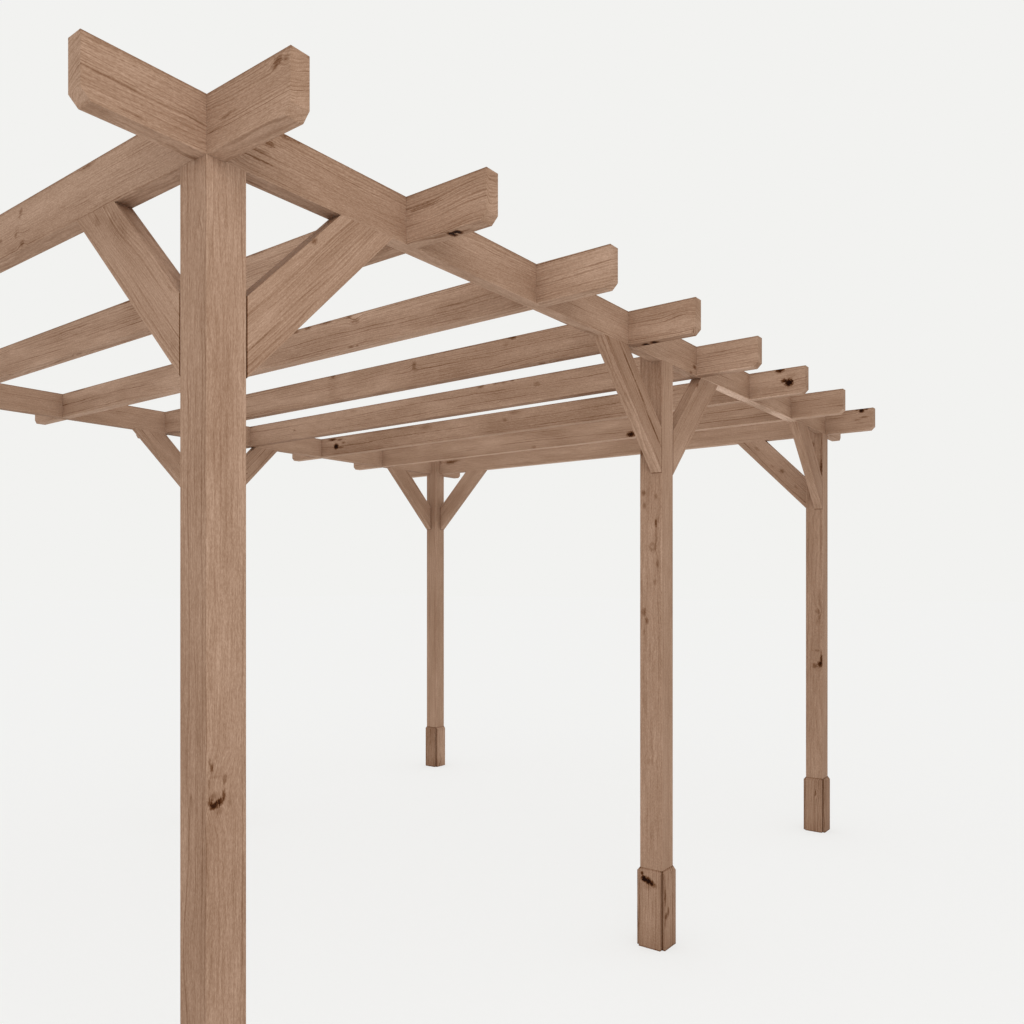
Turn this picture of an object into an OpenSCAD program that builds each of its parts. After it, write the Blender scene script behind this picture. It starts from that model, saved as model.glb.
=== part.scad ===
// Free-standing timber pergola: six notched posts with boarded feet, two long
// side beams, a row of cross members halved over them, and 45 degree braces.
// Millimetres. The origin is on the ground in the middle of the plan, +X runs
// along the length from the front to the back, -Y is the right side, +Z is up.

/* [Plan and height] */
// Length over the outer faces of the corner posts
frame_l = 4100; // [3600:10:6000]
// Width over the outer faces of the corner posts
frame_w = 3056; // [2400:2:4800]
// Height from the ground to the underside of the beams
clear_h = 2288; // [1900:1:2800]

/* [Timber sections] */
// Side of the square posts
post_w = 95; // [80:1:150]
// Radius on the long edges of the posts
post_round = 1.5; // [1:0.5:10]
// Thickness of the beams, cross members and braces
beam_t = 45; // [30:1:60]
// Depth of the beams, cross members and braces
beam_d = 122; // [90:1:180]
// Radius on the long edges of the beams, cross members and braces
beam_round = 1; // [1:0.5:6]

/* [Roof grid] */
// Number of rafters between the two end beams
rafter_count = 6; // [2:2:10]
// Overhang of the side beams past the end beams
side_overhang = 256; // [100:1:500]
// Overhang of the end beams and rafters past the side beams
cross_overhang = 262; // [100:1:500]
// Legs of the slanting cut under each overhanging end
end_cut = 19; // [5:1:60]

/* [Braces] */
// Reach of a brace along its beam, and its drop down the post
brace_reach = 437; // [300:1:700]

/* [Post skirts] */
// Height of the boards around the foot of each post
skirt_h = 307; // [150:1:600]
// Thickness of the skirt boards
skirt_t = 13; // [8:1:25]
// Height of the bevel on top of the skirt boards
skirt_bevel = 15; // [6:1:40]
// How far each skirt board stops short of the edge of the post face
skirt_inset = 1; // [0.5:0.5:5]

/* [Joinery] */
// Play between a notch and each side of the timber that sits in it
joint_play = 0.4; // [0.1:0.1:1]
// Gap between the plumb cut of a brace and its post
brace_gap = 0.8; // [0.1:0.1:1]

/* [Hidden] */
wood = [0.61, 0.486, 0.404];
skirt_wood = [0.57, 0.45, 0.37];
ends = ["front", "back"];
sides = ["right", "left"];
places = ["front", "middle", "back"];

// Straight steps in each rounded timber edge
round_steps = 3;
// Overshoot of a cutting solid past the face it cuts
over = 1;
// Slope of the braces
brace_angle = 45;

top_h = clear_h + beam_d;
halving_d = beam_d / 2;
notch_w = beam_t + 2 * joint_play;
side_beam_l = frame_l + 2 * side_overhang;
cross_l = frame_w + 2 * cross_overhang;
cross_pitch = (frame_l - beam_t) / (rafter_count + 1);
// Low edges of every cross member along X, with the end beams first and last
cross_x = [for (i = [0:rafter_count + 1]) -frame_l / 2 + i * cross_pitch];

// Quarter round of radius r about a centre, from a start angle
function quarter(x, y, r, start) = [
    for (i = [0:round_steps])
        let (a = start + 90 * i / round_steps)
        [x + r * cos(a), y + r * sin(a)]
];

// Section of a planed timber, w by d, with its four corners rounded
function planed_section(w, d, r) = concat(
    quarter(w - r, d - r, r, 0),
    quarter(r, d - r, r, 90),
    quarter(r, r, r, 180),
    quarter(w - r, r, r, 270)
);

// Everything is modelled at the front right and mirrored from there
module at_end(end) { mirror([end == "back" ? 1 : 0, 0, 0]) children(); }
module on_side(side) { mirror([0, side == "left" ? 1 : 0, 0]) children(); }

// Low corner of a post in plan, on the right side
module at_post(place) {
    x = place == "middle" ? -post_w / 2 : -frame_l / 2;
    at_end(place) translate([x, -frame_w / 2, 0]) children();
}

// Planed beam stock along +X, standing on edge
module stock(length) {
    rotate([90, 0, 90])
        linear_extrude(length)
            polygon(planed_section(beam_t, beam_d, beam_round));
}

// Beam stock with both lower corners cut off at its ends
module cut_beam(length) {
    outline = [
        [end_cut, 0], [length - end_cut, 0], [length, end_cut],
        [length, beam_d], [0, beam_d], [0, end_cut]
    ];
    intersection() {
        stock(length);
        rotate([90, 0, 0])
            translate([0, 0, -beam_t])
                linear_extrude(beam_t)
                    polygon(outline);
    }
}

// Room for a beam in the top of a post, from the outer face inwards
module post_housing() {
    translate([-over, -over, clear_h])
        cube([post_w + 2 * over, over + beam_t + joint_play, beam_d + over]);
}

// Square post whose outer top is notched for the side beam and, at a corner,
// for the end beam too, which leaves a tongue inside the beams
module post(place, side) {
    color(wood)
        on_side(side) at_post(place)
            difference() {
                linear_extrude(top_h)
                    polygon(planed_section(post_w, post_w, post_round));
                post_housing();
                if (place != "middle")
                    mirror([1, -1, 0]) post_housing();
            }
}

// One skirt board against the -Y face of a post, bevelled along its top
module skirt_board() {
    profile = [
        [0, 0], [0, skirt_h],
        [-skirt_t, skirt_h - skirt_bevel], [-skirt_t, 0]
    ];
    translate([skirt_inset - post_w / 2, -post_w / 2, 0])
        rotate([90, 0, 90])
            linear_extrude(post_w - 2 * skirt_inset)
                polygon(profile);
}

// Four boards around the foot of a post, open at the corners
module skirt(place, side) {
    color(skirt_wood)
        on_side(side) at_post(place)
            translate([post_w / 2, post_w / 2, 0])
                for (a = [0:90:270])
                    rotate(a) skirt_board();
}

// Long beam on the shoulders of three posts, halved from above
module side_beam(side) {
    color(wood)
        on_side(side)
            difference() {
                translate([-side_beam_l / 2, -frame_w / 2, clear_h])
                    cut_beam(side_beam_l);
                for (x = cross_x)
                    translate([x - joint_play, -frame_w / 2 - over, clear_h + halving_d])
                        cube([notch_w, beam_t + 2 * over, halving_d + over]);
            }
}

// Member across the width, halved from below over both side beams
module cross_member(x) {
    difference() {
        translate([x + beam_t, -cross_l / 2, clear_h])
            rotate(90) cut_beam(cross_l);
        for (side = sides)
            on_side(side)
                translate([x - over, -frame_w / 2 - joint_play, clear_h - over])
                    cube([beam_t + 2 * over, notch_w, halving_d + over]);
    }
}

// Cross member over the posts at one end
module end_beam(end) {
    color(wood)
        at_end(end) cross_member(cross_x[0]);
}

// Cross member between the ends, counted from the front
module rafter(i) {
    color(wood)
        cross_member(cross_x[i]);
}

// Brace that rises along +X from a post face at x = 0 to a beam at z = 0,
// cut plumb beside the post and level under the beam
module brace_stick() {
    long = brace_reach * sqrt(2);
    intersection() {
        translate([0, 0, -brace_reach])
            rotate([0, -brace_angle, 0])
                translate([-beam_d, 0, 0]) stock(long + 2 * beam_d);
        translate([brace_gap, 0, -brace_reach])
            cube([brace_reach - brace_gap, beam_t, brace_reach]);
    }
}

// Brace from a corner post to the side beam
module side_brace(end, side) {
    color(wood)
        on_side(side) at_post(end)
            translate([post_w, 0, clear_h]) brace_stick();
}

// Brace from a corner post to the end beam
module end_brace(end, side) {
    color(wood)
        on_side(side) at_post(end)
            translate([0, post_w, clear_h])
                mirror([1, -1, 0]) brace_stick();
}

// Brace from a middle post towards one end, under the side beam
module middle_brace(side, end) {
    color(wood)
        on_side(side) at_end(end) at_post("middle")
            translate([0, 0, clear_h])
                mirror([1, 0, 0]) brace_stick();
}

for (s = sides, p = places) {
    post(p, s);
    skirt(p, s);
}
for (s = sides)
    side_beam(s);
for (e = ends)
    end_beam(e);
for (i = [1:rafter_count])
    rafter(i);
for (s = sides, e = ends) {
    side_brace(e, s);
    end_brace(e, s);
    middle_brace(s, e);
}
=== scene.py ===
"""Looks of a free-standing timber pergola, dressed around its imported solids."""
import math
import random

import bpy
from mathutils import Matrix, Vector


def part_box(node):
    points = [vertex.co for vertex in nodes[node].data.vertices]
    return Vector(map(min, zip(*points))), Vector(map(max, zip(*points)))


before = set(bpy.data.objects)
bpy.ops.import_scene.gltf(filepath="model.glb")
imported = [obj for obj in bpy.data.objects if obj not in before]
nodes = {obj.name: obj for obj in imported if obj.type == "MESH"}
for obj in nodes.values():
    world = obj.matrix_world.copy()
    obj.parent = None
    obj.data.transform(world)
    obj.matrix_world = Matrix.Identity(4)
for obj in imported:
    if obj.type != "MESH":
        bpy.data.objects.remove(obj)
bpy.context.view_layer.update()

MM = 0.001
X, Y, Z = Vector((1, 0, 0)), Vector((0, 1, 0)), Vector((0, 0, 1))
SIDES = {"right": -1, "left": 1}
ENDS = {"front": -1, "back": 1}


def extent(node):
    """Size of a member's box."""
    low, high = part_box(node)
    return high - low


# Sections of the timber, in metres
POST_W = extent("post_front_right").x
BEAM_T, BEAM_D = extent("rafter_1").x, extent("rafter_1").z

# Camera of the photograph: level, in pixels of a square picture
CAMERA_AT = Vector((-3.0749, -3.0636, 1.4156))
CAMERA_TURN = math.radians(37.087)
PICTURE, FOCAL_PX, CENTRE_X, HORIZON_Y = 1024, 862.268, 506.877, 585.256
# How far the camera sees, in metres
VIEW_REACH = 300


def linear(level):
    """Linear light of an 8 bit sRGB level."""
    c = max(level, 0) / 255
    return c / 12.92 if c <= 0.04045 else ((c + 0.055) / 1.055) ** 2.4


def colour(r, g, b):
    return (linear(r), linear(g), linear(b), 1)


class Net:
    """Short calls that add shader nodes to one tree and wire them up."""

    def __init__(self, tree):
        self.tree = tree

    def wire(self, value, socket):
        if isinstance(value, bpy.types.NodeSocket):
            self.tree.links.new(value, socket)
        else:
            socket.default_value = value

    def add(self, kind, inputs=None, **settings):
        node = self.tree.nodes.new(kind)
        for name, value in settings.items():
            setattr(node, name, value)
        for key, value in (inputs or {}).items():
            self.wire(value, node.inputs[key])
        return node

    def math(self, operation, *values):
        return self.add("ShaderNodeMath", dict(enumerate(values)), operation=operation).outputs[0]

    def total(self, *values):
        result = values[0]
        for value in values[1:]:
            result = self.math("ADD", result, value)
        return result

    def product(self, *values):
        result = values[0]
        for value in values[1:]:
            result = self.math("MULTIPLY", result, value)
        return result

    def vector(self, operation, *values):
        node = self.add("ShaderNodeVectorMath", dict(enumerate(values)), operation=operation)
        return node.outputs["Value" if operation in ("LENGTH", "DOT_PRODUCT") else "Vector"]

    def parts(self, vector):
        return self.add("ShaderNodeSeparateXYZ", {0: vector}).outputs

    def noise(self, place, scale, detail=2.0, roughness=0.5):
        """Noise between 0 and 1, stretched by a scale for each axis."""
        stretched = self.vector("MULTIPLY", place, scale)
        node = self.add("ShaderNodeTexNoise", {
            "Vector": stretched, "Scale": 1.0, "Detail": detail, "Roughness": roughness})
        return node.outputs[0]

    def swing(self, value, size):
        """A value between 0 and 1, made to swing by a size about 0."""
        return self.math("MULTIPLY_ADD", value, 2 * size, -size)

    def smooth(self, value, low, high, start=0.0, end=1.0):
        node = self.add("ShaderNodeMapRange", {
            0: value, 1: low, 2: high, 3: start, 4: end}, interpolation_type="SMOOTHSTEP")
        return node.outputs[0]


def clear_net(owner):
    """Empty shader tree of a material or a world."""
    owner.use_nodes = True
    owner.node_tree.nodes.clear()
    return Net(owner.node_tree)


def new_group(name, inputs, outputs):
    group = bpy.data.node_groups.new(name, "ShaderNodeTree")
    for kind, sockets in (("INPUT", inputs), ("OUTPUT", outputs)):
        for socket, socket_type in sockets:
            group.interface.new_socket(socket, in_out=kind, socket_type="NodeSocket" + socket_type)
    net = Net(group)
    return net, net.add("NodeGroupInput").outputs, net.add("NodeGroupOutput")


# Noises of the grain: scale along, through and across the timber per metre, detail, roughness
KNOT_RIM = (40, 130, 130), 2, 0.5
SWAY, RIPPLE, WOBBLE = ((0.9, 7, 7), 1.5), ((4.5, 24, 24), 2), ((20, 80, 80), 2)
PATCH, DASH = ((2.6, 30, 8), 2), ((24, 240, 40), 2)
STREAK, FLECK, CLOUD = ((13, 520, 40), 3, 0.7), ((130, 420, 420), 2, 0.7), ((2.2, 12, 12), 3)

# Pin knots: cells per metre, dice over which a knot grows, its size and its rim's swing in cells
KNOT_CELLS = (3.4, 9.0, 9.0)
KNOT_CHANCE, KNOT_SIZE, KNOT_RIM_SWING = (0.5, 1.0), (0.015, 0.15), 0.05
# Where in its size a knot is dark, where lines bend around it, and by how many metres
KNOT_CORE, KNOT_BEND, KNOT_ASIDE = (1.0, 0.3), (3.2, 0.3), 0.010

# Bends of the growth lines: sway in waves of the style, ripple and wobble in metres
SWAY_SWING, RIPPLE_SWING, WOBBLE_SWING = 2, 0.006, 0.0016
# Unevenness of the rings: noise per metre from the pith, its start, and its swing in rings
UNEVEN_SCALE, UNEVEN_START, UNEVEN_SWING = 60.0, 3.0, 0.9
# Shares of a ring over which late wood darkens and ends
LINE_RISE, LINE_FALL = (0.36, 0.74), (0.78, 0.97)
# Strength of a line by ring, by patch and by dash
RING_POWER, RING_STRENGTH = 2.0, (0.35, 1.0)
PATCH_RANGE, DASH_RANGE = (0.38, 0.62, 0.22, 1.0), (0.30, 0.54, 0.45, 1.0)

# Levels of the grain's parts, and the lift that brings their mean back to nought
LINE_DARK, KNOT_DARK = 44, (14, 60)
STREAK_SWING, FLECK_SWING, CLOUD_SWING = 30, 31, 20
GRAIN_LIFT = 7.8
LINE_HEIGHT, FLECK_HEIGHT = 0.6, 0.5


def grain_group():
    """Planed softwood: growth lines about a pith, with streaks, flecks and pin knots.

    Level is in 8 bit steps about the mean tone, Height is for roughness and bump.
    """
    net, given, out = new_group(
        "timber_grain",
        [("Place", "Vector"), ("Shift", "Vector"), ("Pith", "Vector"), ("Ring", "Float"),
         ("Wave", "Float"), ("Figure", "Float"), ("Push", "Float"), ("Knots", "Float"),
         ("Cloud", "Float")],
        [("Level", "Float"), ("Height", "Float")])
    place = given["Place"]
    seeded = net.vector("ADD", place, given["Shift"])
    along = net.parts(seeded)

    # Pin knots, one at most in each cell, that push the growth lines aside
    cells = net.add("ShaderNodeTexVoronoi", {
        "Vector": net.vector("MULTIPLY", seeded, KNOT_CELLS), "Scale": 1.0})
    dice = net.add("ShaderNodeSeparateColor", {0: cells.outputs["Color"]}).outputs
    size = net.product(net.smooth(dice[0], *KNOT_CHANCE, *KNOT_SIZE), given["Knots"])
    rim = net.swing(net.noise(seeded, *KNOT_RIM), KNOT_RIM_SWING)
    reach = net.math("DIVIDE", net.total(cells.outputs["Distance"], rim), size)
    knot = net.product(net.smooth(reach, *KNOT_CORE), net.smooth(dice[1], 0.0, 1.0, *KNOT_DARK))
    aside = net.smooth(reach, *KNOT_BEND, 0.0, KNOT_ASIDE)

    # Distance from the pith, bent by slow and quick waves
    sway = net.product(net.swing(net.noise(seeded, *SWAY), SWAY_SWING), given["Wave"])
    ripple = net.swing(net.noise(seeded, *RIPPLE), RIPPLE_SWING)
    wobble = net.swing(net.noise(seeded, *WOBBLE), WOBBLE_SWING)
    across = net.vector("MULTIPLY", net.vector("SUBTRACT", place, given["Pith"]), (0, 1, 1))
    radius = net.total(net.vector("LENGTH", across), sway, ripple, wobble, aside, given["Push"])

    # Thin dark lines of late wood, uneven in step, strength and length
    uneven = net.add("ShaderNodeTexNoise", {
        "W": net.math("ADD", radius, UNEVEN_START), "Scale": UNEVEN_SCALE, "Detail": 1.0},
        noise_dimensions="1D").outputs[0]
    phase = net.total(net.math("DIVIDE", radius, given["Ring"]), net.swing(uneven, UNEVEN_SWING))
    share = net.math("FRACT", phase)
    line = net.product(net.smooth(share, *LINE_RISE), net.smooth(share, *LINE_FALL, 1.0, 0.0))
    chance = net.add("ShaderNodeTexWhiteNoise", {"W": net.math("FLOOR", phase)}, noise_dimensions="1D")
    strength = net.math("POWER", chance.outputs["Value"], RING_POWER)
    strength = net.smooth(strength, 0.0, 1.0, *RING_STRENGTH)
    layered = net.add("ShaderNodeCombineXYZ", {"X": along[0], "Y": radius, "Z": along[1]}).outputs[0]
    patch = net.smooth(net.noise(layered, *PATCH), *PATCH_RANGE)
    dash = net.smooth(net.noise(layered, *DASH), *DASH_RANGE)
    lines = net.product(line, strength, patch, dash, given["Figure"])

    streak = net.swing(net.noise(layered, *STREAK), STREAK_SWING)
    fleck = net.noise(seeded, *FLECK)
    cloud = net.product(net.swing(net.noise(seeded, *CLOUD), CLOUD_SWING), given["Cloud"])
    level = net.total(net.product(lines, -LINE_DARK), streak, net.swing(fleck, FLECK_SWING),
                      cloud, net.product(knot, -1), GRAIN_LIFT)
    height = net.total(net.product(lines, LINE_HEIGHT), net.product(fleck, FLECK_HEIGHT))
    net.wire(level, out.inputs["Level"])
    net.wire(height, out.inputs["Height"])
    return net.tree


GRAIN = grain_group()


def brace_direction(node):
    """Level direction in which a brace climbs away from its post."""
    words = node.split("_")
    if words[1] == "middle":
        return X * ENDS[words[3]]
    if words[3] == "side":
        return -X * ENDS[words[1]]
    return -Y * SIDES[words[2]]


def member_frame(node):
    """Axes along the grain, through the thickness and through the depth, with centre and half section."""
    centre, half = sum(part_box(node), Vector()) / 2, extent(node) / 2
    if node.startswith("side_beam"):
        return (X, Y, Z), centre, (0, half.y, half.z)
    if node.startswith(("end_beam", "rafter")):
        return (Y, -X, Z), centre, (0, half.x, half.z)
    if node.startswith(("post", "skirt")):
        return (Z, X, Y), centre, (0, half.x, half.y)
    away = brace_direction(node)
    rise = (away + Z).normalized()
    thick = away.cross(Z)
    middle = centre + (Z - away).normalized() * BEAM_D / 2
    return (rise, thick, rise.cross(thick)), middle, (0, BEAM_T / 2, BEAM_D / 2)


# Faces that look to the front, the right and the ground, as the axis that each looks down
FRONT, RIGHT, UNDER = 0, 1, 2
# Knots and marks that show, by member and face: pixel of the photograph, reach along and across the grain
# in mm, darkness in levels, and how far in mm the growth lines bend around it. Long patches across whole
# undersides with a negative darkness are painted light from below.
MARKS_AND_PAINTED_LIGHT = {
    "post_front_right": {
        RIGHT: [
            (217, 791, 36, 21, 2, 16), (216.5, 786.5, 12, 14, -5, 0), (214.5, 806, 7, 10, 105, 0),
            (220, 801.8, 8, 7, 88, 0), (224, 795, 11, 4, 60, 0), (209.8, 803.5, 7, 6, 55, 0),
            (214, 797.5, 9, 13, 20, 0), (224.8, 779, 10, 4.5, 34, 0), (208.8, 783, 10, 3, 20, 0),
            (211.8, 768, 11, 4, 46, 0), (209.3, 761, 8, 3, 26, 0), (214.5, 777, 3, 12, 12, 0),
            (219.5, 811, 8, 7, 24, 0), (230, 800, 20, 4, 12, 0)],
        FRONT: [
            (191, 797, 8, 3, 18, 0), (191.5, 804, 16, 7, 9, 0), (198, 220, 16, 8, 16, 8),
            (198, 220, 10, 5, -13, 0), (188, 948, 60, 16, 5, 12), (199.5, 736, 45, 5, 11, 0),
            (186, 760, 60, 10, 6, 6)],
    },
    "side_beam_right": {
        # The lighter long patches across the underside are painted light from below
        UNDER: [
            (731.5, 393, 270, 45, -44, 0), (782, 417, 160, 45, -44, 0), (85, 107, 60, 45, 12, 0),
            (185, 149, 60, 45, -8, 0)],
        RIGHT: [
            (269, 143.5, 16, 7, 46, 0), (256, 149, 30, 4, 34, 0), (284, 137, 18, 4, 36, 0),
            (294, 141, 20, 4, 24, 0), (258, 159, 44, 2.5, 44, 0), (694.5, 367, 14, 7, 60, 0),
            (691, 373, 14, 8, 36, 0), (694, 378, 14, 8, 66, 0), (130, 112.5, 28, 2.5, 16, 0),
            (139, 117.5, 16, 2.5, 14, 0)],
    },
    "side_beam_left": {
        # The lighter long patch across the underside is painted light from below
        UNDER: [
            (330, 458.5, 330, 45, -20, 0)],
    },
    "end_beam_front": {
        FRONT: [
            (278, 60, 12, 8, 46, 10), (286, 58, 8, 7, 30, 0), (274, 67, 8, 5, 24, 0),
            (225, 117, 14, 3, 30, 0), (232, 111, 18, 2.5, 22, 0), (215, 129.5, 24, 3, 22, 0),
            (87, 167, 30, 5, 26, 0), (21, 211.5, 10, 7, 36, 7), (19.5, 216.5, 8, 7, 24, 0),
            (17, 231, 12, 14, 8, 8), (15.5, 235.5, 7, 8, 24, 0), (22, 243, 12, 9, 32, 7),
            (0.5, 241.5, 10, 6, 26, 0)],
    },
    "rafter_1": {
        FRONT: [
            (257, 253, 40, 6, 28, 0), (128, 301.5, 40, 5, 28, 0), (427, 205, 40, 6, 28, 0),
            (414, 210, 14, 5, 18, 0), (478, 200, 60, 40, 0, 14)],
        UNDER: [
            (450.5, 233.4, 8, 9, 118, 0), (456, 231.6, 10, 8, 122, 0), (454, 235, 9, 8, 118, 0),
            (460, 232.6, 7, 8, 108, 0), (466, 230.5, 16, 4, 24, 0)],
    },
    "rafter_2": {
        FRONT: [
            (355, 322, 18, 11, 30, 10), (355, 323, 9, 5, -22, 0), (349, 317, 14, 5, 46, 0),
            (327, 322.5, 30, 6, 44, 0), (308, 328, 18, 6, 54, 0), (296, 332, 16, 6, 44, 0),
            (78, 390.5, 70, 5, 36, 0), (351, 347, 14, 5, 42, 0), (357, 346, 8, 5, 34, 0)],
    },
    "rafter_3": {
        FRONT: [
            (414, 365, 12, 16, 34, 9), (416, 370, 14, 8, 22, 0), (332, 385, 34, 60, 9, 0),
            (333, 376.5, 14, 8, 44, 0), (513, 337.4, 16, 7, 62, 0), (506, 344, 16, 10, 16, 0),
            (566, 350, 140, 30, 0, 14)],
        UNDER: [
            (648, 345, 34, 16, 18, 0), (646, 344.2, 12, 12, 105, 0), (654.5, 342.2, 15, 13, 118, 0),
            (380, 393, 60, 40, 15, 0), (480, 374, 160, 40, 10, 0), (170, 431.5, 60, 40, 22, 0)],
    },
    "rafter_4": {
        FRONT: [
            (481, 386.5, 22, 8, 46, 0), (496, 383.5, 18, 6, 32, 0), (251, 427, 30, 9, 42, 0),
            (512, 380, 14, 6, 44, 0), (504, 382.5, 16, 5, 24, 0), (537, 384, 18, 9, 26, 6),
            (354, 411, 24, 7, 14, 0)],
        # The lighter long patch across the underside is painted light from below
        UNDER: [
            (604, 391.5, 190, 40, 30, 0), (738, 370, 90, 40, -36, 0), (700, 379.5, 16, 12, 60, 0),
            (460, 413.5, 300, 40, 14, 0), (640, 383, 90, 40, 14, 0)],
    },
    "rafter_5": {
        FRONT: [
            (515, 412, 36, 10, 20, 0), (505, 420, 16, 10, 24, 0), (426, 427, 46, 14, 18, 10),
            (336.2, 446.4, 20, 17, 165, 8), (332.5, 439.8, 34, 7, 100, 0), (340, 439.6, 26, 6, 56, 0),
            (343.5, 442.5, 16, 8, 44, 0), (341, 447.5, 26, 6, 40, 0), (789, 382.6, 17, 16, 170, 8),
            (784, 380.6, 12, 10, 100, 0), (779.8, 370.6, 18, 10, 112, 0), (791, 377, 26, 18, 14, 0)],
        # The lighter long patch across the underside is painted light from below
        UNDER: [
            (750, 397.5, 330, 45, -46, 0)],
    },
    "rafter_6": {
        FRONT: [
            (631, 434.3, 26, 15, 128, 0), (616, 417, 30, 12, 22, 0), (596, 419, 26, 10, 20, 0),
            (534, 447, 18, 9, 22, 0)],
        # The lighter long patch across the underside is painted light from below
        UNDER: [
            (724, 424.6, 200, 45, -44, 0)],
    },
    "end_beam_back": {
        FRONT: [
            (452, 461.5, 80, 9, 50, 0), (450, 463, 50, 12, 36, 0), (438, 463, 40, 16, 40, 0),
            (861.6, 410.6, 13, 11, 140, 6), (866.5, 408.9, 9, 5, 80, 0), (857, 409.8, 9, 5, 70, 0),
            (836, 418.5, 50, 4, 24, 0), (864, 417, 22, 5, 40, 0), (857, 420, 18, 4, 34, 0),
            (860, 423, 26, 5, 14, 0)],
    },
    "brace_front_right_end": {
        FRONT: [
            (118, 224, 46, 26, 6, 10), (113, 219, 14, 9, 10, 0), (97, 221, 16, 9, 18, 0),
            (124, 232, 22, 8, 12, 0), (170, 288, 12, 4, 16, 0), (173, 346, 12, 6, 14, 0),
            (109, 216, 40, 5, -22, 0)],
    },
    "brace_front_right_side": {
        RIGHT: [
            (314, 241, 9, 7, 42, 6), (260, 340, 60, 2, 34, 0), (300, 300, 90, 2, 16, 0)],
    },
    "brace_middle_right_front": {
        RIGHT: [
            (628, 363, 85, 5, 46, 0), (641, 395, 55, 5, 40, 0), (653, 427, 75, 5, 46, 0)],
    },
    "brace_middle_right_back": {
        RIGHT: [
            (697, 383.5, 14, 14, 56, 0), (691.5, 391, 22, 8, 44, 0), (686, 401, 16, 5, 34, 0)],
    },
    "post_middle_right": {
        FRONT: [
            (641.8, 453, 16, 6, 48, 0), (643.5, 493, 10, 9, 40, 0), (644.5, 505.5, 12, 7, 32, 0),
            (656, 496.5, 10, 6, 28, 0), (656, 523, 16, 5, 56, 7), (656, 536, 34, 5, 26, 0),
            (652.5, 547, 17, 15, 44, 8), (652.5, 546.8, 10, 8, -40, 0), (657.5, 563.5, 14, 6, 30, 0),
            (655, 582, 12, 6, 26, 0), (644, 612, 16, 9, 40, 0), (647, 621, 14, 7, 46, 0),
            (661.3, 548, 150, 3.5, -16, 0), (644, 632, 10, 6, 18, 0), (650, 650, 50, 6, 9, 0),
            (653, 668, 40, 5, 9, 6), (651, 727, 46, 7, 9, 0), (651, 745, 30, 8, 12, 6),
            (649.5, 762, 16, 18, 12, 7), (652, 838, 46, 6, 10, 0)],
    },
    "skirt_middle_right": {
        FRONT: [
            (646.5, 880, 12, 15, 122, 0), (650.5, 882.5, 11, 13, 106, 0), (642, 873, 7, 6, 80, 0),
            (643.3, 877.8, 10, 10, 112, 0), (654, 885.5, 10, 11, 46, 0), (647, 886, 12, 20, 16, 0)],
        RIGHT: [
            (666.2, 916.3, 12, 10, 62, 0), (668.4, 911.5, 16, 7, 48, 0), (665.4, 896, 34, 5, 52, 0),
            (664, 886, 26, 5, 40, 0), (665.5, 923, 18, 5, 24, 0)],
    },
    "brace_back_right_end": {
        FRONT: [
            (782, 471, 15, 10, 46, 7), (757, 449, 20, 8, 22, 0), (772, 466, 14, 6, 24, 0),
            (796, 487, 16, 8, 24, 0)],
    },
    "post_back_right": {
        FRONT: [
            (821.3, 659, 34, 6, 90, 0), (819.6, 664, 16, 12, 95, 9), (815, 665.7, 14, 14, 48, 0),
            (817.3, 650.5, 7, 14, 26, 10), (817.4, 611, 14, 14, 26, 7), (819.2, 616.5, 20, 8, 20, 0),
            (817, 622, 20, 9, 16, 0), (821.3, 468, 50, 7, 62, 0), (821.5, 450, 90, 6, 30, 0),
            (813, 445, 20, 8, 40, 0), (820.6, 530, 140, 5, 22, 0)],
    },
}
# Depth of a mark into its face, in mm
MARK_DEEP = 4
# Shares of a mark's reach at which it starts and is full: its tone, and its push on growth lines
MARK_EDGE, PUSH_EDGE = (1.55, 0.3), (3.0, 0.3)
# Noise that frays marks and worn edges, and its swing
FRAY, FRAY_SWING = ((110, 300, 300), 3, 0.7), 1.1


def photo_point(node, face, u, v):
    """Point of a member's face under a pixel of the photograph."""
    ahead = Vector((math.cos(CAMERA_TURN), math.sin(CAMERA_TURN), 0))
    right = Vector((math.sin(CAMERA_TURN), -math.cos(CAMERA_TURN), 0))
    ray = ahead + right * (u - CENTRE_X) / FOCAL_PX + Z * (HORIZON_Y - v) / FOCAL_PX
    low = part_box(node)[0]
    return CAMERA_AT + ray * (low[face] - CAMERA_AT[face]) / ray[face]


def marks_and_painted_light(net, node, local, fray, axes, centre):
    """Darkness of the marks on one member, with the painted light of its long underside patches, and the
    push on its growth lines.
    """
    dark, push = 0.0, 0.0
    for face, marks in MARKS_AND_PAINTED_LIGHT.get(node, {}).items():
        normal = max((1, 2), key=lambda i: abs(axes[i][face]))
        for u, v, along, across, depth, aside in marks:
            reach = [along * MM, across * MM, across * MM]
            reach[normal] = MARK_DEEP * MM
            point = Matrix(axes) @ (photo_point(node, face, u, v) - centre)
            gap = net.vector("MULTIPLY", net.vector("SUBTRACT", local, point), [1 / r for r in reach])
            gap = net.vector("LENGTH", gap)
            dark = net.total(dark, net.smooth(net.total(gap, fray), *MARK_EDGE, 0.0, depth))
            if aside:
                push = net.total(push, net.smooth(gap, *PUSH_EDGE, 0.0, aside * MM))
    return dark, push


# Long edges, lighter from wear and a painted highlight: how far this is frayed, its fade in from the
# edge, and its levels
EDGE_FRAY, EDGE_FADE, EDGE_WEAR_AND_HIGHLIGHT = 0.005, (0.004, 0.0), 4
# Darker upper edges of the level timber: levels, start and end of the fade in metres
LEVEL_TIMBER = ("side_beam", "end_beam", "rafter")
TOP_DARK, TOP_FADE = 30, (0.0075, 0.001)
# Painted shade in the seam beside a brace's plumb cut
PAINTED_SEAM_SHADE, SEAM_FADE = 64, (0.0036, 0.0016)
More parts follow.
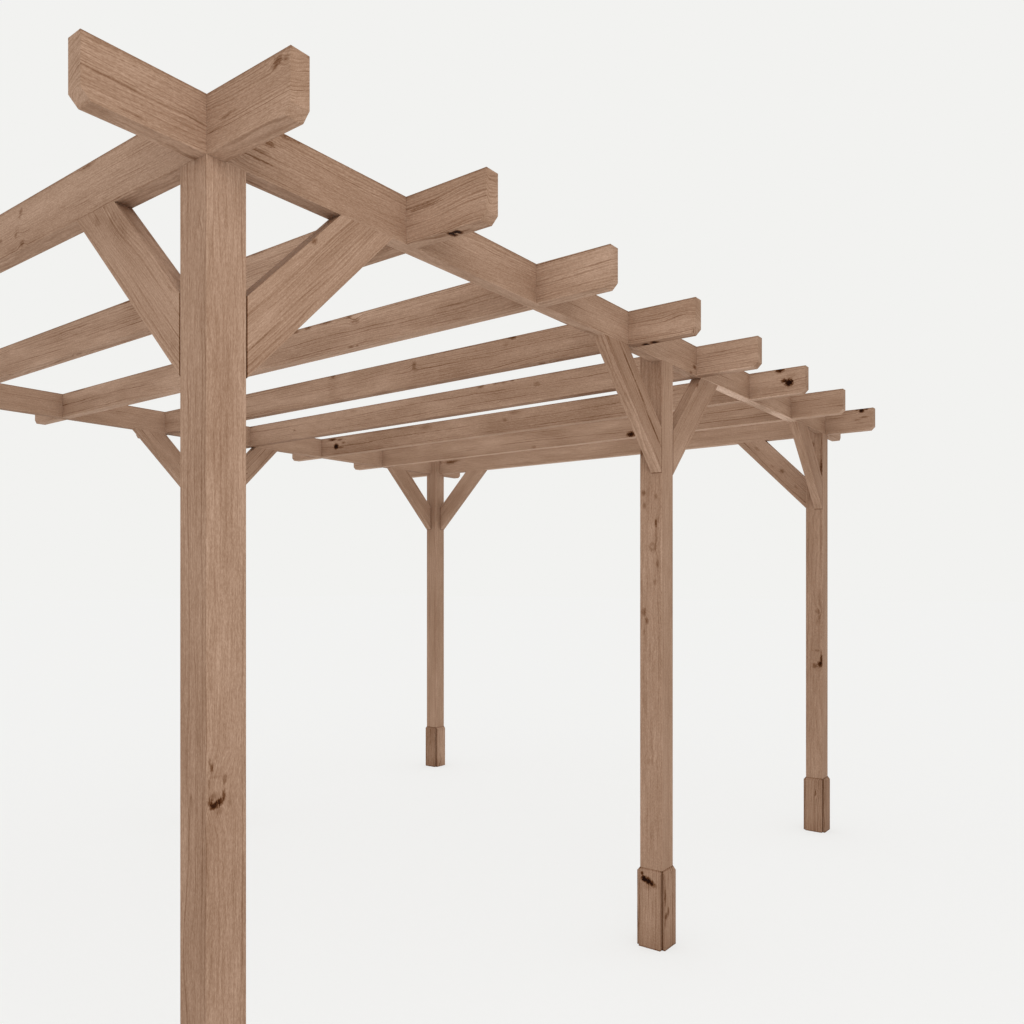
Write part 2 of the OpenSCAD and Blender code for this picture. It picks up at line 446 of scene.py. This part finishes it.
# Skirts: painted shade in the seam at an open corner, the line along the rim, darker towards the foot,
# and the sole
PAINTED_CORNER_SHADE, CORNER_FADE = 66, (0.0062, 0.0015)
RIM_DARK, RIM_FADE = 25, (0.300, 0.305)
FOOT_DARK, FOOT_FADE = 10, (0.12, 0.0)
SOLE_DARK, SOLE_FADE = 34, (0.007, 0.001)


def kind_tones_and_painted_shade(net, node, place, local, edge):
    """Levels that only one kind of member has, at a place in the frame: darker upper edges, painted shade
    in brace seams and skirt corners, and the skirts' foot, sole and rim darker.
    """
    if node.startswith(LEVEL_TIMBER):
        upper = net.math("GREATER_THAN", net.parts(local)[2], 0.0)
        return [net.product(net.smooth(edge, *TOP_FADE, 0.0, -TOP_DARK), upper)]
    if node.startswith("brace"):
        away = brace_direction(node)
        start = min(corner.dot(away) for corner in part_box(node))
        gap = net.total(net.vector("DOT_PRODUCT", place, away), -start)
        # Painted shade in the seam beside the plumb cut
        return [net.smooth(gap, *SEAM_FADE, 0.0, -PAINTED_SEAM_SHADE)]
    if node.startswith("skirt"):
        beside = net.vector("SUBTRACT", net.vector("ABSOLUTE", local), (0, POST_W / 2, POST_W / 2))
        gap = net.vector("LENGTH", net.vector("MULTIPLY", beside, (0, 1, 1)))
        high = net.parts(place)[2]
        # Painted shade in the open corner, then the foot, the sole and the rim darker
        return [net.smooth(gap, *CORNER_FADE, 0.0, -PAINTED_CORNER_SHADE),
                net.smooth(high, *FOOT_FADE, 0.0, -FOOT_DARK),
                net.smooth(high, *SOLE_FADE, 0.0, -SOLE_DARK),
                net.smooth(high, *RIM_FADE, 0.0, -RIM_DARK)]
    return []


# The wood's colour over its level, in 8 bit steps about the mean
WOOD_STOPS = [(-125, (29, 8, 1)), (-85, (79, 42, 15)), (-45, (116, 81, 57)),
              (0, (160, 128, 105)), (35, (195, 163, 140)), (70, (230, 199, 177))]
LEVEL_LOW, LEVEL_HIGH = WOOD_STOPS[0][0], WOOD_STOPS[-1][0]
# Gloss and relief of the planed faces
ROUGHNESS, SPECULAR = (0.68, 0.84), 0.06
BUMP_STRENGTH, BUMP_DEPTH = 0.35, 0.0006


def level_share(level):
    return (level - LEVEL_LOW) / (LEVEL_HIGH - LEVEL_LOW)


def wood_colour(net, level):
    share = net.math("MULTIPLY_ADD", level, 1 / (LEVEL_HIGH - LEVEL_LOW), level_share(0))
    ramp = net.add("ShaderNodeValToRGB", {0: share})
    points = ramp.color_ramp.elements
    while len(points) < len(WOOD_STOPS):
        points.new(0.5)
    for point, (stop, tint) in zip(points, WOOD_STOPS):
        point.position = level_share(stop)
        point.color = colour(*tint)
    return ramp.outputs[0]


def timber(node, shift, pith, face_light, tone, ring, wave, figure, knots, cloud):
    """Material of one member, its grain along the first of its axes."""
    material = bpy.data.materials.new("timber_" + node)
    net = clear_net(material)
    axes, centre, half = member_frame(node)
    coordinate = net.add("ShaderNodeTexCoord").outputs
    place = coordinate["Object"]
    local = net.add("ShaderNodeMapping", {
        "Vector": place, "Location": centre,
        "Rotation": Matrix(axes).transposed().to_euler()}, vector_type="TEXTURE").outputs[0]

    fray = net.swing(net.noise(net.vector("ADD", local, shift), *FRAY), FRAY_SWING)
    dark, push = marks_and_painted_light(net, node, local, fray, axes, centre)
    grain = net.add("ShaderNodeGroup", {
        "Place": local, "Shift": shift, "Pith": pith, "Ring": ring, "Wave": wave, "Figure": figure,
        "Push": push, "Knots": knots, "Cloud": cloud}, node_tree=GRAIN).outputs

    # Painted light and shade give the faces of one timber their own tones, and its long edges are lighter
    # in places from wear and a painted highlight
    facing = net.vector("MULTIPLY", coordinate["Normal"], (-1, -1, -1))
    painted_face_tone = net.vector("DOT_PRODUCT", net.vector("MAXIMUM", facing, (0, 0, 0)), face_light)
    inset = net.parts(net.vector("SUBTRACT", half, net.vector("ABSOLUTE", local)))
    edge = net.total(net.math("MAXIMUM", inset[1], inset[2]), net.product(fray, EDGE_FRAY))
    level = net.total(grain["Level"], tone, painted_face_tone, net.product(dark, -1),
                      net.smooth(edge, *EDGE_FADE, 0.0, EDGE_WEAR_AND_HIGHLIGHT),
                      *kind_tones_and_painted_shade(net, node, place, local, edge))

    bump = net.add("ShaderNodeBump", {
        "Strength": BUMP_STRENGTH, "Distance": BUMP_DEPTH, "Height": grain["Height"]})
    shader = net.add("ShaderNodeBsdfPrincipled", {
        "Base Color": wood_colour(net, level),
        "Roughness": net.smooth(grain["Height"], 0.0, 1.0, *ROUGHNESS),
        "Specular IOR Level": SPECULAR,
        "Normal": bump.outputs[0]})
    net.add("ShaderNodeOutputMaterial", {0: shader.outputs[0]})
    return material


# Spread of the grain's random starts, and the pith's place off the centre, in metres
SHIFT_SPREAD = 20
SQUARE_PITH, BEAM_PITH = (0.13, 0.11), (0.09, 0.24)
# Ring and wave in metres, tone in levels, the rest as shares of the grain's own
STYLE = {
    "post": dict(ring=0.0088, wave=0.009, figure=0.75, tone=-2, knots=0.5, cloud=1.0),
    "skirt": dict(ring=0.0070, wave=0.010, figure=1.9, tone=-4, knots=0.5, cloud=1.2),
    "side": dict(ring=0.0062, wave=0.011, figure=0.9, tone=-2, knots=0.5, cloud=1.0),
    "end": dict(ring=0.0060, wave=0.011, figure=1.0, tone=0, knots=0.5, cloud=1.15),
    "rafter": dict(ring=0.0072, wave=0.012, figure=1.25, tone=1, knots=0.6, cloud=1.5),
    "brace": dict(ring=0.0068, wave=0.011, figure=0.9, tone=0, knots=0.5, cloud=1.3),
}
# Levels of single members against their kind
TONES = {
    "post_front_right": -2, "side_beam_right": -1, "side_beam_left": 5, "end_beam_front": -1,
    "end_beam_back": 3, "rafter_1": 3, "rafter_2": 7, "rafter_3": 1, "rafter_4": 6, "rafter_5": -2,
    "brace_back_right_end": 5, "brace_back_left_end": 4, "brace_back_left_side": 4,
}
# Painted light and shade: levels of their faces that look to the front, the right and the ground
PAINTED_FACE_LIGHT = {
    "post_front_right": (0, 2, 0), "post_back_right": (0, -4, 0),
    "side_beam_right": (5, 0, 7), "side_beam_left": (0, 0, -14),
    "end_beam_front": (0, -6, 2), "end_beam_back": (0, -5, 18),
    "rafter_1": (0, -5, -4), "rafter_2": (0, -7, 3), "rafter_3": (0, -8, -13),
    "rafter_4": (0, -14, -19), "rafter_5": (0, -17, 14), "rafter_6": (0, -5, 24),
    "brace_front_right_end": (-2, 6, 0), "brace_front_right_side": (-29, -2, 0),
    "brace_middle_right_front": (4, -16, 4), "brace_middle_right_back": (-6, -4, 0),
    "brace_middle_left_front": (0, 0, 6), "brace_back_right_side": (0, -15, 3),
    "brace_back_left_end": (0, 0, -9), "skirt_middle_right": (0, -4, 0),
    "skirt_back_right": (0, -13, 0), "skirt_back_left": (-14, 9, 0),
}


def dress(node):
    """Give one member its own timber."""
    kind = node.split("_")[0]
    dice = random.Random(node)
    shift = [dice.uniform(-SHIFT_SPREAD, SHIFT_SPREAD) for _ in range(3)]
    off = SQUARE_PITH if kind in ("post", "skirt") else BEAM_PITH
    pith = [0] + [dice.choice((-1, 1)) * metres for metres in off]
    style = dict(STYLE[kind])
    style["tone"] += TONES.get(node, 0)
    material = timber(node, shift, pith, PAINTED_FACE_LIGHT.get(node, (0, 0, 0)), **style)
    for place in nodes[node].material_slots:
        place.material = material


for name in sorted(nodes):
    dress(name)

# Sky, and the soft box over the photographer's right shoulder
SKY_LEVEL = 0.885
KEY_AT, KEY_AIM = Vector((-3.2, -4.1, 2.7)), Vector((-1.6, -1.2, 1.5))
KEY_POWER, KEY_SIZE = 21, 1.6
# Pale backdrop and floor, and the share of the floor's look that takes no shadow
BACKDROP_TINT, FLOOR_TINT = (242, 242, 240), (246, 246, 244)
FLOOR_SIZE, FLOOR_ALBEDO, FLOOR_EVEN = 160, 0.92, 0.7


def backdrop_rays(net):
    """One for the rays that should see the plain pale backdrop."""
    path = net.add("ShaderNodeLightPath").outputs
    some = net.math("MAXIMUM", path["Is Camera Ray"], path["Is Glossy Ray"])
    return net.math("MAXIMUM", some, path["Is Transmission Ray"])


def studio():
    """Pale floor, an even sky and one soft box."""
    world = bpy.data.worlds.new("studio")
    bpy.context.scene.world = world
    net = clear_net(world)
    sky = net.add("ShaderNodeBackground", {"Color": (1, 1, 1, 1), "Strength": SKY_LEVEL})
    backdrop = net.add("ShaderNodeBackground", {"Color": colour(*BACKDROP_TINT), "Strength": 1.0})
    mix = net.add("ShaderNodeMixShader", {
        0: backdrop_rays(net), 1: sky.outputs[0], 2: backdrop.outputs[0]})
    net.add("ShaderNodeOutputWorld", {0: mix.outputs[0]})

    bpy.ops.mesh.primitive_plane_add(size=FLOOR_SIZE)
    floor = bpy.context.object
    floor.name = "floor"
    material = bpy.data.materials.new("floor_white")
    net = clear_net(material)
    diffuse = net.add("ShaderNodeBsdfDiffuse", {0: (FLOOR_ALBEDO, FLOOR_ALBEDO, FLOOR_ALBEDO, 1)})
    even = net.add("ShaderNodeEmission", {"Color": colour(*FLOOR_TINT), "Strength": 1.0})
    share = net.product(backdrop_rays(net), FLOOR_EVEN)
    mix = net.add("ShaderNodeMixShader", {0: share, 1: diffuse.outputs[0], 2: even.outputs[0]})
    net.add("ShaderNodeOutputMaterial", {0: mix.outputs[0]})
    floor.data.materials.append(material)

    key = bpy.data.objects.new("key", bpy.data.lights.new("key", "AREA"))
    key.data.energy = KEY_POWER
    key.data.size = KEY_SIZE
    key.location = KEY_AT
    key.rotation_euler = (KEY_AT - KEY_AIM).to_track_quat("Z", "Y").to_euler()
    key.visible_camera = False
    bpy.context.scene.collection.objects.link(key)


def photo_camera():
    """Camera that takes the photograph's own view."""
    data = bpy.data.cameras.new("camera")
    data.lens = FOCAL_PX / PICTURE * data.sensor_width
    data.shift_x = 0.5 - CENTRE_X / PICTURE
    data.shift_y = HORIZON_Y / PICTURE - 0.5
    data.clip_end = VIEW_REACH
    camera = bpy.data.objects.new("camera", data)
    camera.location = CAMERA_AT
    camera.rotation_euler = (math.pi / 2, 0, CAMERA_TURN - math.pi / 2)
    bpy.context.scene.collection.objects.link(camera)
    bpy.context.scene.camera = camera


studio()
photo_camera()
bpy.context.scene.view_settings.view_transform = "Standard"
